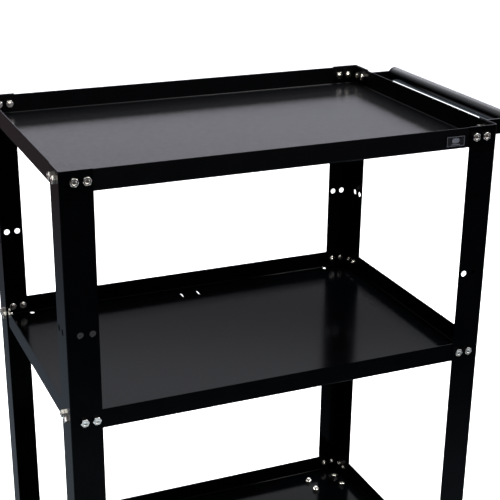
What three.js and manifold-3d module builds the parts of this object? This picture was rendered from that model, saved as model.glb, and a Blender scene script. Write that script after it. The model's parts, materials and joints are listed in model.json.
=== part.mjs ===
// Three-shelf steel tool cart with four angle posts, a tube handle and four plate casters.
// Units are millimetres, +Z is up, the handle is at +X and the labelled long side faces -Y.
// The origin is on the floor, under the middle of the whole cart with its handle.

import * as THREE from 'three';
import { mergeVertices } from 'three/addons/utils/BufferGeometryUtils.js';
import Module from 'manifold-3d';

const wasm = await Module();
wasm.setup();

// ---------- driving dimensions ----------

const FRAME_LENGTH = 610;        // over the outer faces of the posts, along X
const FRAME_WIDTH = 408;         // over the outer faces of the posts, along Y
const FIT = 0.25;                // paint and clearance between pieces that touch

const POST_LEG = 42.5;           // width of each leg of the angle section
const POST_SHEET = 1.5;
const POST_BEND = 2.5;           // outer radius of the folded corner
const POST_ABOVE_RIM = 1;        // the posts end just above the top tray's rim

const TRAY_SHEET = 1.2;
const TRAY_DEPTH = 28.5;         // rim to underside
const TRAY_BEND = 3;             // outer radius between floor and walls
const MIDDLE_RIM_DROP = 321;     // below the top rim
const BOTTOM_RIM_DROP = 728;

const HOLE_PITCH = [18, 34];     // distances of a pair of holes from the post's outer corner
const BOLT_BELOW_RIM = 13;
const SPARE_HOLE_DROP = 212.5;   // unused pair, below the top rim
const POST_HOLE = 8.5;           // diameter
const TRAY_HOLE = 7.2;
const HOLE_SIDES = 8;
const COVERED_HOLE_SIDES = 6;    // holes that a bolt fills
const FLOOR_HOLE_SIDES = 16;

const FLOOR_HOLE = 7;            // diameter of the middle tray's holes beside the long walls
const FLOOR_HOLE_FROM_END = 48;  // from the frame's outer faces
const FLOOR_HOLE_FROM_SIDE = 7.5;
const SLOT_LENGTH = 15;          // a pair of slots near the back of the middle tray
const SLOT_WIDTH = 2;
const SLOT_X = 14;               // either side of the middle
const SLOT_FROM_BACK = 28.5;

const BOLT = { across: 10, head: 4, shank: 6, nut: 5, end: 3 };

const LABEL = { width: 28, height: 14, thick: 0.6, fromEnd: 50, belowRim: 10 };

const TUBE = { diameter: 22, wall: 1.5, out: 48.7, belowRim: 9.3, sides: 24 };
const ARM = { sheet: 2.5, top: 3.9, height: 22, inset: 40.5, flangeInset: 8 };

const CASTER_HEIGHT = 97;        // floor to the top of the mounting plate
const CASTER_FROM_END = 53;      // centre of the mounting plate from the frame's outer faces
const CASTER_FROM_SIDE = 51;
const PLATE = { length: 68, width: 46, sheet: 2.5, corner: 5, holeX: 26.5, holeY: 15, hole: 6.8 };
const WHEEL = { radius: 38, tyreInner: 32.6, tyreWidth: 20, hubWidth: 22, sides: 24 };
const FORK = { inside: 13, sheet: 2, trail: 26, eye: 9 };
const AXLE = { shank: 8, across: 13, head: 5, sides: 8 };
const CROWN = { radius: 22, top: 12, sheet: 2.5 };
const KINGPIN = { shank: 5, head: 8, foot: 7.5 };
const PIN_SIDES = 12;
const DISC_SIDES = 16;
const BRAKE = { pivotX: 40, pivotDown: 17, pin: 2.5, width: 24 };

// ---------- derived positions ----------

const HALF_LENGTH = FRAME_LENGTH / 2;
const HALF_WIDTH = FRAME_WIDTH / 2;
const BOTTOM_TRAY_UNDERSIDE = CASTER_HEIGHT + FIT;
const TOP_RIM = BOTTOM_TRAY_UNDERSIDE + TRAY_DEPTH + BOTTOM_RIM_DROP;
const RIMS = {
  top: TOP_RIM,
  middle: TOP_RIM - MIDDLE_RIM_DROP,
  bottom: TOP_RIM - BOTTOM_RIM_DROP,
};
const TRAY_HALF_LENGTH = HALF_LENGTH - POST_SHEET - FIT;
const TRAY_HALF_WIDTH = HALF_WIDTH - POST_SHEET - FIT;
const AXLE_DOWN = CASTER_HEIGHT - WHEEL.radius;
const HANDLE_END = HALF_LENGTH + TUBE.out + TUBE.diameter / 2;
const HEAD_END = HALF_LENGTH + FIT + BOLT.head;
const FRAME_SHIFT = -(HANDLE_END - HEAD_END) / 2;

// ---------- materials ----------

const material = (color, roughness, metalness) =>
  new THREE.MeshStandardMaterial({ color, roughness, metalness });
const blackPaint = material(0x17181b, 0.35, 0.2);
const zinc = material(0xc4c8cc, 0.3, 0.9);
const pressedSteel = material(0xa9adb2, 0.35, 0.9);
const rubber = material(0x2a2a2c, 0.8, 0);
const corePlastic = material(0x55585c, 0.6, 0);
const pedalPlastic = material(0x9c1f1c, 0.5, 0);
const labelFace = material(0x20242a, 0.5, 0);

// ---------- solid helpers ----------

function solid(geometry) {
  const plain = geometry.clone();
  plain.deleteAttribute('normal');
  plain.deleteAttribute('uv');
  const merged = mergeVertices(plain, 1e-4);
  return new wasm.Manifold(new wasm.Mesh({
    numProp: 3,
    vertProperties: new Float32Array(merged.attributes.position.array),
    triVerts: new Uint32Array(merged.index.array),
  }));
}

function toMesh(name, shape, look) {
  const { vertProperties, triVerts } = shape.getMesh();
  const geometry = new THREE.BufferGeometry();
  geometry.setAttribute('position', new THREE.BufferAttribute(vertProperties, 3));
  geometry.setIndex(new THREE.BufferAttribute(triVerts, 1));
  geometry.computeVertexNormals();
  const mesh = new THREE.Mesh(geometry, look);
  mesh.name = name;
  return mesh;
}

function box(x, y, z) {
  const geometry = new THREE.BoxGeometry(x[1] - x[0], y[1] - y[0], z[1] - z[0]);
  geometry.translate((x[0] + x[1]) / 2, (y[0] + y[1]) / 2, (z[0] + z[1]) / 2);
  return solid(geometry);
}

// A round or many-sided bar between two values of one axis, centred on the other two.
function bar(axis, radius, range, centre, sides, turn = 0) {
  const geometry = new THREE.CylinderGeometry(radius, radius, range[1] - range[0], sides);
  geometry.rotateY(turn);
  const middle = (range[0] + range[1]) / 2;
  if (axis === 'x') {
    geometry.rotateZ(-Math.PI / 2);
    geometry.translate(middle, centre[0], centre[1]);
  } else if (axis === 'y') {
    geometry.translate(centre[0], middle, centre[1]);
  } else {
    geometry.rotateX(Math.PI / 2);
    geometry.translate(centre[0], centre[1], middle);
  }
  return solid(geometry);
}

function prism(shape, range, curveSegments = 4) {
  const depth = range[1] - range[0];
  const geometry = new THREE.ExtrudeGeometry(shape, { depth, bevelEnabled: false, curveSegments });
  geometry.translate(0, 0, range[0]);
  return geometry;
}

// An outline drawn with (x, z), thickened along Y.
function prismAlongY(shape, range, curveSegments) {
  const geometry = prism(shape, [-range[1], -range[0]], curveSegments);
  geometry.rotateX(Math.PI / 2);
  return solid(geometry);
}

// An outline drawn with (y, z), thickened along X.
function prismAlongX(shape, range, curveSegments) {
  const geometry = prism(shape, range, curveSegments);
  geometry.rotateX(Math.PI / 2);
  geometry.rotateZ(Math.PI / 2);
  return solid(geometry);
}

// A ring or disc about the Y axis from [radius, y] points. Half a side's turn puts a flat at the bottom.
function turnedAboutY(points, sides) {
  const profile = points.map(([r, y]) => new THREE.Vector2(r, y));
  return solid(new THREE.LatheGeometry(profile, sides, Math.PI / sides));
}

function turnedAboutZ(points, sides) {
  const geometry = new THREE.LatheGeometry(points.map(([r, z]) => new THREE.Vector2(r, z)), sides);
  geometry.rotateX(Math.PI / 2);
  return solid(geometry);
}

const joined = (parts) => parts.reduce((whole, part) => whole.add(part));
const cut = (body, tools) => body.subtract(joined(tools));
const hexRadius = (across) => across / Math.sqrt(3);

function roundedRectangle(halfX, halfY, radius) {
  const shape = new THREE.Shape();
  shape.moveTo(-halfX + radius, -halfY);
  shape.absarc(halfX - radius, -halfY + radius, radius, -Math.PI / 2, 0);
  shape.absarc(halfX - radius, halfY - radius, radius, 0, Math.PI / 2);
  shape.absarc(-halfX + radius, halfY - radius, radius, Math.PI / 2, Math.PI);
  shape.absarc(-halfX + radius, -halfY + radius, radius, Math.PI, 1.5 * Math.PI);
  return shape;
}

// ---------- trays ----------

// Section across a tray: straight walls, a fold of the given radius, a flat bottom.
function panSection(half, bottom, top, radius) {
  const shape = new THREE.Shape();
  shape.moveTo(half, top);
  shape.lineTo(-half, top);
  shape.lineTo(-half, bottom + radius);
  shape.absarc(-half + radius, bottom + radius, radius, Math.PI, 1.5 * Math.PI);
  shape.lineTo(half - radius, bottom);
  shape.absarc(half - radius, bottom + radius, radius, -Math.PI / 2, 0);
  return shape;
}

function panSolid(halfLength, halfWidth, bottom, top, radius) {
  const across = prismAlongY(panSection(halfLength, bottom, top, radius), [-halfWidth, halfWidth], 3);
  const along = prismAlongX(panSection(halfWidth, bottom, top, radius), [-halfLength, halfLength], 3);
  return across.intersect(along);
}

function boltHoles(rim) {
  const z = rim - BOLT_BELOW_RIM;
  const tools = [];
  for (const sx of [-1, 1]) {
    for (const sy of [-1, 1]) {
      for (const pitch of HOLE_PITCH) {
        const x = sx * (HALF_LENGTH - pitch);
        const y = sy * (HALF_WIDTH - pitch);
        const wallY = [sy * TRAY_HALF_WIDTH - 3, sy * TRAY_HALF_WIDTH + 3];
        const wallX = [sx * TRAY_HALF_LENGTH - 3, sx * TRAY_HALF_LENGTH + 3];
        tools.push(bar('y', TRAY_HOLE / 2, wallY, [x, z], COVERED_HOLE_SIDES));
        tools.push(bar('x', TRAY_HOLE / 2, wallX, [y, z], COVERED_HOLE_SIDES));
      }
    }
  }
  return tools;
}

function floorHoles(floorRange) {
  const x = HALF_LENGTH - FLOOR_HOLE_FROM_END;
  const y = HALF_WIDTH - FLOOR_HOLE_FROM_SIDE;
  const places = [[-x, -y], [-x, y], [x, -y], [x, y]];
  return places.map((at) => bar('z', FLOOR_HOLE / 2, floorRange, at, FLOOR_HOLE_SIDES));
}

function slots(floorRange) {
  const y = HALF_WIDTH - SLOT_FROM_BACK;
  const slotY = [y - SLOT_LENGTH / 2, y + SLOT_LENGTH / 2];
  return [-SLOT_X, SLOT_X].map((x) => box([x - SLOT_WIDTH / 2, x + SLOT_WIDTH / 2], slotY, floorRange));
}

function plateBoltHoles(floorRange) {
  const tools = [];
  for (const [x, y] of casterPlaces()) {
    for (const [hx, hy] of plateHoles()) {
      tools.push(bar('z', PLATE.hole / 2, floorRange, [x + hx, y + hy], COVERED_HOLE_SIDES));
    }
  }
  return tools;
}

function tray(name) {
  const rim = RIMS[name];
  const bottom = rim - TRAY_DEPTH;
  const outside = panSolid(TRAY_HALF_LENGTH, TRAY_HALF_WIDTH, bottom, rim, TRAY_BEND);
  const inside = panSolid(
    TRAY_HALF_LENGTH - TRAY_SHEET,
    TRAY_HALF_WIDTH - TRAY_SHEET,
    bottom + TRAY_SHEET,
    rim + 5,
    TRAY_BEND - TRAY_SHEET,
  );
  const floorRange = [bottom - 2, bottom + TRAY_SHEET + 2];
  const tools = boltHoles(rim);
  if (name === 'middle') {
    tools.push(...floorHoles(floorRange), ...slots(floorRange));
  } else if (name === 'bottom') {
    tools.push(...plateBoltHoles(floorRange));
  }
  return toMesh(`${name}_tray`, cut(outside.subtract(inside), tools), blackPaint);
}

// ---------- posts ----------

function post(sx, sy) {
  const section = new THREE.Shape();
  const at = (x, y) => [sx * (HALF_LENGTH - x), sy * (HALF_WIDTH - y)];
  section.moveTo(...at(POST_LEG, 0));
  for (let step = 0; step <= 3; step += 1) {
    const angle = (step / 3) * (Math.PI / 2);
    const x = POST_BEND * (1 - Math.sin(angle));
    const y = POST_BEND * (1 - Math.cos(angle));
    section.lineTo(...at(x, y));
  }
  section.lineTo(...at(0, POST_LEG));
  section.lineTo(...at(POST_SHEET, POST_LEG));
  section.lineTo(...at(POST_SHEET, POST_SHEET));
  section.lineTo(...at(POST_LEG, POST_SHEET));
  const body = solid(prism(section, [BOTTOM_TRAY_UNDERSIDE, TOP_RIM + POST_ABOVE_RIM]));

  const levels = [...Object.values(RIMS).map((rim) => rim - BOLT_BELOW_RIM), TOP_RIM - SPARE_HOLE_DROP];
  const tools = [];
  for (const z of levels) {
    const sides = z === TOP_RIM - SPARE_HOLE_DROP ? HOLE_SIDES : COVERED_HOLE_SIDES;
    for (const pitch of HOLE_PITCH) {
      const [x, y] = at(pitch, pitch);
      const faceX = sx * HALF_LENGTH;
      const faceY = sy * HALF_WIDTH;
      tools.push(bar('y', POST_HOLE / 2, [faceY - 3, faceY + 3], [x, z], sides));
      tools.push(bar('x', POST_HOLE / 2, [faceX - 3, faceX + 3], [y, z], sides));
    }
  }
  const name = `post_${sy < 0 ? 'front' : 'back'}_${sx < 0 ? 'left' : 'right'}`;
  return toMesh(name, cut(body, tools), blackPaint);
}

// ---------- shelf bolts ----------

// A hexagon head outside the post and a nut inside the tray, drawn along the given axis. All bolts are
// equally long, so a packing under the head leaves less of the thread beyond the nut.
function shelfBolt(name, axis, side, face, centre, packing) {
  const headStart = face + FIT + packing;
  const headEnd = headStart + BOLT.head;
  const nutStart = face - POST_SHEET - FIT - TRAY_SHEET - FIT;
  const nutEnd = nutStart - BOLT.nut;
  const along = (a, b) => (side > 0 ? [a, b] : [-b, -a]);
  const radius = hexRadius(BOLT.across);
  const turn = axis === 'x' ? 0 : Math.PI / 6;
  const parts = [
    bar(axis, radius, along(headStart, headEnd), centre, 6, turn),
    bar(axis, radius, along(nutEnd, nutStart), centre, 6, turn),
    bar(axis, BOLT.shank / 2, along(nutEnd - BOLT.end + packing, headStart + 1), centre, 6, turn),
  ];
  return toMesh(name, joined(parts), zinc);
}

// One bolt of each pair, the one nearer the corner, on the long side and on the end of every corner.
function shelfBolts() {
  const bolts = [];
  for (const [level, rim] of Object.entries(RIMS)) {
    const z = rim - BOLT_BELOW_RIM;
    for (const sx of [-1, 1]) {
      for (const sy of [-1, 1]) {
        const corner = `${level}_${sy < 0 ? 'front' : 'back'}_${sx < 0 ? 'left' : 'right'}`;
        const x = sx * (HALF_LENGTH - HOLE_PITCH[0]);
        const y = sy * (HALF_WIDTH - HOLE_PITCH[0]);
        const underHandle = level === 'top' && sx > 0 ? ARM.sheet + FIT : 0;
        bolts.push(shelfBolt(`bolt_${corner}_long`, 'y', sy, HALF_WIDTH, [x, z], 0));
        bolts.push(shelfBolt(`bolt_${corner}_end`, 'x', sx, HALF_LENGTH, [y, z], underHandle));
      }
    }
  }
  return bolts;
}

// ---------- handle ----------

function handleTube() {
  const centre = [HALF_LENGTH + TUBE.out, TOP_RIM - TUBE.belowRim];
  const half = HALF_WIDTH - ARM.inset - ARM.sheet - FIT;
  const outside = bar('y', TUBE.diameter / 2, [-half, half], centre, TUBE.sides);
  const inside = bar('y', TUBE.diameter / 2 - TUBE.wall, [-half - 1, half + 1], centre, TUBE.sides);
  return toMesh('handle_tube', outside.subtract(inside), blackPaint);
}

// A flat arm with a round end behind the tube and a flange against the post's short leg.
function handleArm(sy) {
  const eyeX = HALF_LENGTH + TUBE.out;
  const eyeZ = TOP_RIM - TUBE.belowRim;
  const radius = TUBE.diameter / 2;
  const top = TOP_RIM - ARM.top;
  const bottom = top - ARM.height;
  const start = HALF_LENGTH + FIT;
  const outline = new THREE.Shape();
  outline.moveTo(start, top);
  outline.lineTo(start, bottom);
  outline.lineTo(eyeX - radius, bottom);
  outline.lineTo(eyeX, eyeZ - radius);
  outline.absarc(eyeX, eyeZ, radius, -Math.PI / 2, Math.PI - Math.asin((top - eyeZ) / radius), false);
  const outer = HALF_WIDTH - ARM.inset;
  const inner = outer - ARM.sheet;
  const webY = sy > 0 ? [inner, outer] : [-outer, -inner];
  const flangeEnd = HALF_WIDTH - ARM.flangeInset;
  const flangeY = sy > 0 ? [inner, flangeEnd] : [-flangeEnd, -inner];
  const web = prismAlongY(outline, webY, 12);
  const flange = box([start, start + ARM.sheet], flangeY, [bottom, top]);
  const holes = HOLE_PITCH.map((pitch) => bar(
    'x',
    TRAY_HOLE / 2,
    [start - 1, start + ARM.sheet + 1],
    [sy * (HALF_WIDTH - pitch), TOP_RIM - BOLT_BELOW_RIM],
    HOLE_SIDES,
  ));
  const name = sy < 0 ? 'handle_arm_front' : 'handle_arm_back';
  return toMesh(name, cut(web.add(flange), holes), blackPaint);
}

function label() {
  const right = HALF_LENGTH - LABEL.fromEnd;
  const front = -TRAY_HALF_WIDTH - FIT;
  const top = TOP_RIM - LABEL.belowRim;
  const shape = box([right - LABEL.width, right], [front - LABEL.thick, front], [top - LABEL.height, top]);
  return toMesh('label_plate', shape, labelFace);
}

// ---------- casters, drawn with the plate's top centre at the origin ----------

function casterPlaces() {
  const x = HALF_LENGTH - CASTER_FROM_END;
  const y = HALF_WIDTH - CASTER_FROM_SIDE;
  return [[-x, -y], [-x, y], [x, -y], [x, y]];
}

function plateHoles() {
  const { holeX, holeY } = PLATE;
  return [[-holeX, -holeY], [-holeX, holeY], [holeX, -holeY], [holeX, holeY]];
}

function plateBlank() {
  const outline = roundedRectangle(PLATE.length / 2, PLATE.width / 2, PLATE.corner);
  const blank = solid(prism(outline, [-PLATE.sheet, 0], 3));
  const through = [-PLATE.sheet - 1, 1];
  const holes = plateHoles().map((at) => bar('z', PLATE.hole / 2, through, at, COVERED_HOLE_SIDES));
  return cut(blank, holes);
}

function swivelPlate() {
  const race = turnedAboutZ([[0, -8], [18, -8], [21, -PLATE.sheet + 1], [0, -PLATE.sheet + 1]], DISC_SIDES);
  const tools = [
    bar('z', KINGPIN.head + 1, [-4.2, 1], [0, 0], PIN_SIDES),
    bar('z', KINGPIN.shank + 0.6, [-9, 1], [0, 0], PIN_SIDES),
  ];
  return cut(plateBlank().add(race), tools);
}

function kingpin() {
  const crownBottom = -CROWN.top - CROWN.sheet;
  return turnedAboutZ([
    [0, crownBottom - 3],
    [KINGPIN.foot, crownBottom - 3],
    [KINGPIN.foot, crownBottom - 0.3],
    [KINGPIN.shank, crownBottom - 0.3],
    [KINGPIN.shank, -3.8],
    [KINGPIN.head, -3.8],
    [KINGPIN.head, -0.6],
    [0, -0.6],
  ], PIN_SIDES);
}

function ballRace() {
  const top = -8.3;
  const bottom = -CROWN.top + 0.3;
  const profile = [[14.5, bottom], [18.5, bottom], [18.5, top], [14.5, top], [14.5, bottom]];
  return turnedAboutZ(profile, DISC_SIDES);
}

// One side plate of a fork: broad at the top, tapering to a round eye at the axle.
function cheekShape(top, backX, frontX, axleX, ear) {
  const eye = new THREE.Vector2(axleX, -AXLE_DOWN);
  const shape = new THREE.Shape();
  const tangent = (x, z, side) => {
    const dx = x - eye.x;
    const dz = z - eye.y;
    const far = Math.hypot(dx, dz);
    return Math.atan2(dz, dx) + side * Math.acos(FORK.eye / far);
  };
  shape.moveTo(frontX, top);
  shape.lineTo(backX, top);
  const from = tangent(backX, top, 1);
  const lower = ear ? [ear[ear.length - 1][0], ear[ear.length - 1][1]] : [frontX, top];
  const to = tangent(lower[0], lower[1], -1);
  shape.absarc(eye.x, eye.y, FORK.eye, from, to + 2 * Math.PI, false);
  if (ear) {
    for (const [x, z] of [...ear].reverse()) {
      shape.lineTo(x, z);
    }
  }
  return shape;
}

function cheeks(shape) {
  const outer = FORK.inside + FORK.sheet;
  return [-1, 1].map((side) => prismAlongY(
    shape,
    side > 0 ? [FORK.inside, outer] : [-outer, -FORK.inside],
    5,
  ));
}

const axleHole = (x) => bar('y', AXLE.shank / 2 + 0.5, [-20, 20], [x, -AXLE_DOWN], HOLE_SIDES);

function swivelFork() {
  const ear = [
    [BRAKE.pivotX - 2, -CROWN.top + 1],
    [BRAKE.pivotX + 5, -CROWN.top - 1],
    [BRAKE.pivotX + 6, -BRAKE.pivotDown - 5],
    [BRAKE.pivotX + 1, -BRAKE.pivotDown - 14],
  ];
  const sides = cheeks(cheekShape(-CROWN.top, -15, 20, FORK.trail, ear));
  const crown = bar('z', CROWN.radius, [-CROWN.top - CROWN.sheet, -CROWN.top], [0, 0], DISC_SIDES);
  const bridge = box([0, 24], [-FORK.inside - 1, FORK.inside + 1], [-CROWN.top - CROWN.sheet, -CROWN.top]);
  const pinHole = bar('y', BRAKE.pin + 0.35, [-20, 20], [BRAKE.pivotX, -BRAKE.pivotDown], HOLE_SIDES);
  const kingHole = bar('z', KINGPIN.shank + 0.6, [-20, -5], [0, 0], PIN_SIDES);
  return cut(joined([...sides, crown, bridge]), [pinHole, kingHole, axleHole(FORK.trail)]);
}

function rigidBracket() {
  const sides = cheeks(cheekShape(-PLATE.sheet / 2, -17, 17, 0));
  return cut(joined([plateBlank(), ...sides]), [axleHole(0)]);
}

// The corners of the many-sided tread lie outside the real circle, so that its flats roll at the real radius.
function tyre() {
  const { tyreInner } = WHEEL;
  const radius = WHEEL.radius / Math.cos(Math.PI / WHEEL.sides);
  const half = WHEEL.tyreWidth / 2;
  return turnedAboutY([
    [tyreInner, -half],
    [radius - 2.5, -half],
    [radius, -half + 4],
    [radius, half - 4],
    [radius - 2.5, half],
    [tyreInner, half],
    [tyreInner, -half],
  ], WHEEL.sides);
}

function wheelCore() {
  const rim = WHEEL.tyreInner - 0.3;
  const hub = WHEEL.hubWidth / 2;
  const bore = AXLE.shank / 2 + 0.5;
  return turnedAboutY([
    [bore, -hub],
    [10, -hub],
    [27, -3],
    [rim, -9.5],
    [rim, 9.5],
    [27, 3],
    [10, hub],
    [bore, hub],
    [bore, -hub],
  ], WHEEL.sides);
}

function axle() {
  const face = FORK.inside + FORK.sheet + FIT;
  const centre = [0, 0];
  const radius = hexRadius(AXLE.across);
  return joined([
    bar('y', AXLE.shank / 2, [-face - 1, face + AXLE.head + 2], centre, AXLE.sides),
    bar('y', radius, [-face - AXLE.head, -face], centre, 6),
    bar('y', radius, [face, face + AXLE.head], centre, 6),
  ]);
}

// The pedal with its pin: a lever between the cheeks and a foot tread beyond the wheel.
function brakePedal() {
  const { pivotX, pivotDown, pin, width } = BRAKE;
  const half = width / 2;
  const lever = new THREE.Shape();
  lever.moveTo(pivotX - 5, -pivotDown - 1);
  lever.lineTo(pivotX - 2, -pivotDown - 5);
  lever.lineTo(pivotX + 11, -pivotDown - 7);
  lever.lineTo(pivotX + 20, -pivotDown - 3);
  lever.lineTo(pivotX + 45, -pivotDown - 6);
  lever.lineTo(pivotX + 46, -pivotDown - 2);
  lever.lineTo(pivotX + 20, -pivotDown + 4);
  lever.lineTo(pivotX, -pivotDown + 4);
  const arm = prismAlongY(lever, [-half + 0.4, half - 0.4]);
  const reach = FORK.inside + FORK.sheet + 2;
  const pinBody = bar('y', pin, [-reach, reach], [pivotX, -pivotDown], HOLE_SIDES);
  const pinHeads = [-1, 1].map((side) => {
    const start = FORK.inside + FORK.sheet + FIT;
    const range = side > 0 ? [start, reach] : [-reach, -start];
    return bar('y', pin + 1.5, range, [pivotX, -pivotDown], HOLE_SIDES);
  });
  return joined([arm, pinBody, ...pinHeads]);
}

function placed(meshes, x, y, z) {
  const group = new THREE.Group();
  group.position.set(x, y, z);
  group.add(...meshes);
  return group;
}

function wheelSet(corner) {
  return [
    toMesh(`tyre_${corner}`, tyre(), rubber),
    toMesh(`wheel_core_${corner}`, wheelCore(), corePlastic),
    toMesh(`axle_bolt_${corner}`, axle(), zinc),
  ];
}

function caster(x, y) {
  const side = y < 0 ? 'front' : 'back';
  const corner = `${side}_${x < 0 ? 'left' : 'right'}`;
  const isSwivel = x > 0;
  const meshes = isSwivel
    ? [
      toMesh(`caster_plate_${corner}`, swivelPlate(), pressedSteel),
      toMesh(`kingpin_${corner}`, kingpin(), zinc),
      toMesh(`ball_race_${corner}`, ballRace(), zinc),
      toMesh(`swivel_fork_${corner}`, swivelFork(), pressedSteel),
      toMesh(`brake_pedal_${corner}`, brakePedal(), pedalPlastic),
    ]
    : [toMesh(`rigid_fork_${corner}`, rigidBracket(), pressedSteel)];
  const offset = isSwivel ? FORK.trail : 0;
  meshes.push(placed(wheelSet(corner), offset, 0, -AXLE_DOWN));
  return placed(meshes, x, y, CASTER_HEIGHT);
}

// ---------- assembly ----------

const cart = new THREE.Group();
cart.position.set(FRAME_SHIFT, 0, 0);
cart.add(tray('top'), tray('middle'), tray('bottom'));
cart.add(post(-1, -1), post(1, -1), post(-1, 1), post(1, 1));
cart.add(handleTube(), handleArm(-1), handleArm(1), label());
cart.add(...shelfBolts());
for (const [x, y] of casterPlaces()) {
  cart.add(caster(x, y));
}

export default cart;
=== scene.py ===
"""Steel tool cart: fine meshes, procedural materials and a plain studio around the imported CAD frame.

Shapes are drawn in millimetres in the chassis frame, whose origin is on the floor under the middle of
the four posts. The object's axes are those of the row frame: the handle at +X, the labelled side at -Y.
"""

import functools
import json
import math
import random

import bmesh
import bpy
from mathutils import Matrix, Vector

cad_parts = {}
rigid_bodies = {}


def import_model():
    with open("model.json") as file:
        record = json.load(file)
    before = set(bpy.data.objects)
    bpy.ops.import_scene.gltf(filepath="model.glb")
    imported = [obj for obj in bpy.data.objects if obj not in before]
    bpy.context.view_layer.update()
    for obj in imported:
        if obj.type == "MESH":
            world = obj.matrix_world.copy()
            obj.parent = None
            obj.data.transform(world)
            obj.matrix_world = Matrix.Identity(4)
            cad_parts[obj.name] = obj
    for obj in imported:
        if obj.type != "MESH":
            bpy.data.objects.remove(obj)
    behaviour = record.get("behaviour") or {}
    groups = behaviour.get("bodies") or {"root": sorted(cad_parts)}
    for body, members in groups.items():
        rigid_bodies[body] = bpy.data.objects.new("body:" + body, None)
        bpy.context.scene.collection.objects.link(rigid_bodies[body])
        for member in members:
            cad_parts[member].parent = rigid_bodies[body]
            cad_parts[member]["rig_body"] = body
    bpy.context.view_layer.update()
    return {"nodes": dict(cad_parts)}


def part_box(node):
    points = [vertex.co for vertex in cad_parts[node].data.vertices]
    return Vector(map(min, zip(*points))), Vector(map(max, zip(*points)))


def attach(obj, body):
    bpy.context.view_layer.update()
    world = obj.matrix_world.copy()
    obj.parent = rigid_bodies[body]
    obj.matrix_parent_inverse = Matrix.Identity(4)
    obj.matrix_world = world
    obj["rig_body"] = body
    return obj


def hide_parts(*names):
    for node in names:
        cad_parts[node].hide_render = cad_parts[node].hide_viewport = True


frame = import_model()

# ---------- places read from the CAD ----------

MM = 0.001
CENTRE_X = (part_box("post_front_left")[0].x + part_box("post_front_right")[1].x) / 2
TO_ROW = Matrix.Translation((CENTRE_X, 0, 0)) @ Matrix.Scale(MM, 4)


def span(node):
    """Lowest and highest corner of a CAD node, in millimetres in the chassis frame."""
    low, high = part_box(node)
    shift = Vector((CENTRE_X, 0, 0))
    return (low - shift) / MM, (high - shift) / MM


HALF_LENGTH = span("post_front_right")[1].x
HALF_WIDTH = span("post_back_right")[1].y
POST_BOTTOM, POST_TOP = (corner.z for corner in span("post_front_left"))
TRAYS = {level: span(f"{level}_tray") for level in ("top", "middle", "bottom")}
TRAY_HALF_LENGTH = TRAYS["top"][1].x
TRAY_HALF_WIDTH = TRAYS["top"][1].y
TOP_RIM = TRAYS["top"][1].z
CORNERS = [(sx, sy) for sx in (-1, 1) for sy in (-1, 1)]

# ---------- sizes of the CAD source's parts, with some finer ones ----------

POST_LEG = 42.5
POST_SHEET = 1.5
POST_BEND = 2.5
TRAY_SHEET = 1.2
TRAY_BEND = 3
TRAY_CORNER = 1.6
HOLE_PITCH = (18, 34)
BOLT_BELOW_RIM = 13
SPARE_HOLE_DROP = 212.5
POST_HOLE = 8.5
TRAY_HOLE = 7.2
FLOOR_HOLE = {"across": 7, "from_end": 48, "from_side": 7.5}
SLOT = {"length": 15, "width": 2, "x": 14, "from_back": 28.5, "end": 0.95}
FIT = 0.25
BOLT = {"across": 10, "head": 4, "shank": 6, "nut": 5, "end": 3}
ARM = {"sheet": 2.5, "fold": 4.0, "flange_below_rim": 3.9}
TUBE_WALL = 1.5
PLATE_HOLES = [(hx, hy) for hx in (-26.5, 26.5) for hy in (-15, 15)]
PLATE = {"length": 68, "width": 46, "sheet": 2.5, "corner": 5, "hole": 6.8}
FORK = {"inside": 13, "sheet": 2, "trail": 26, "eye": 9, "axle_hole": 9}
FORK_OUTSIDE = FORK["inside"] + FORK["sheet"]
AXLE_HEIGHT = 38
AXLE_BOLT = {"across": 13, "head": 5, "shank": 8, "end": 2}
CASTER_TOP = POST_BOTTOM - FIT
AXLE_DOWN = CASTER_TOP - AXLE_HEIGHT
CROWN = {"top": -12, "sheet": 2.5, "radius": 22}
BRAKE_PIVOT = (40, -17)
BRAKE_PIN_HOLE = 5.7

# ---------- sizes that only the fine meshes have ----------

EDGE = 0.3  # rounding that paint leaves on a cut edge
CASTER_EDGE = 0.4  # rounding of stamped caster parts
PAST = 3  # how far a cutting shape stands past the sheet that it cuts
PAST_FLOOR = 2
PAST_CASTER = 20
ARM_SPARE = {"long": 5, "high": 20}  # what the arm's folded plate has before it is trimmed


# ---------- mesh helpers ----------

ON_AXIS = 1e-6  # a smaller radius is a point on the axis
MERGE = 0.002  # points nearer than this are joined after a boolean


def on_axis(axis, u, v, w):
    """The point at w along an axis, with u and v along the other two in order."""
    return {"x": (w, u, v), "y": (u, w, v), "z": (u, v, w)}[axis]


def bridge(bm, rings, closed=False):
    """Joins rings of vertices with faces; a ring of one vertex is a pole."""
    pairs = list(zip(rings, rings[1:]))
    if closed:
        pairs.append((rings[-1], rings[0]))
    for low, high in pairs:
        count = max(len(low), len(high))
        for i in range(count):
            j = (i + 1) % count
            corners = [low[i % len(low)], low[j % len(low)], high[j % len(high)], high[i % len(high)]]
            unique = list(dict.fromkeys(corners))
            bm.faces.new(unique)


def prism(bm, outline, low, high, axis="z"):
    """A straight solid with this outline, from low to high along the axis."""
    rings = [[bm.verts.new(on_axis(axis, u, v, w)) for u, v in outline] for w in (low, high)]
    bridge(bm, rings)
    bm.faces.new(rings[0])
    bm.faces.new(rings[1])


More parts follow.
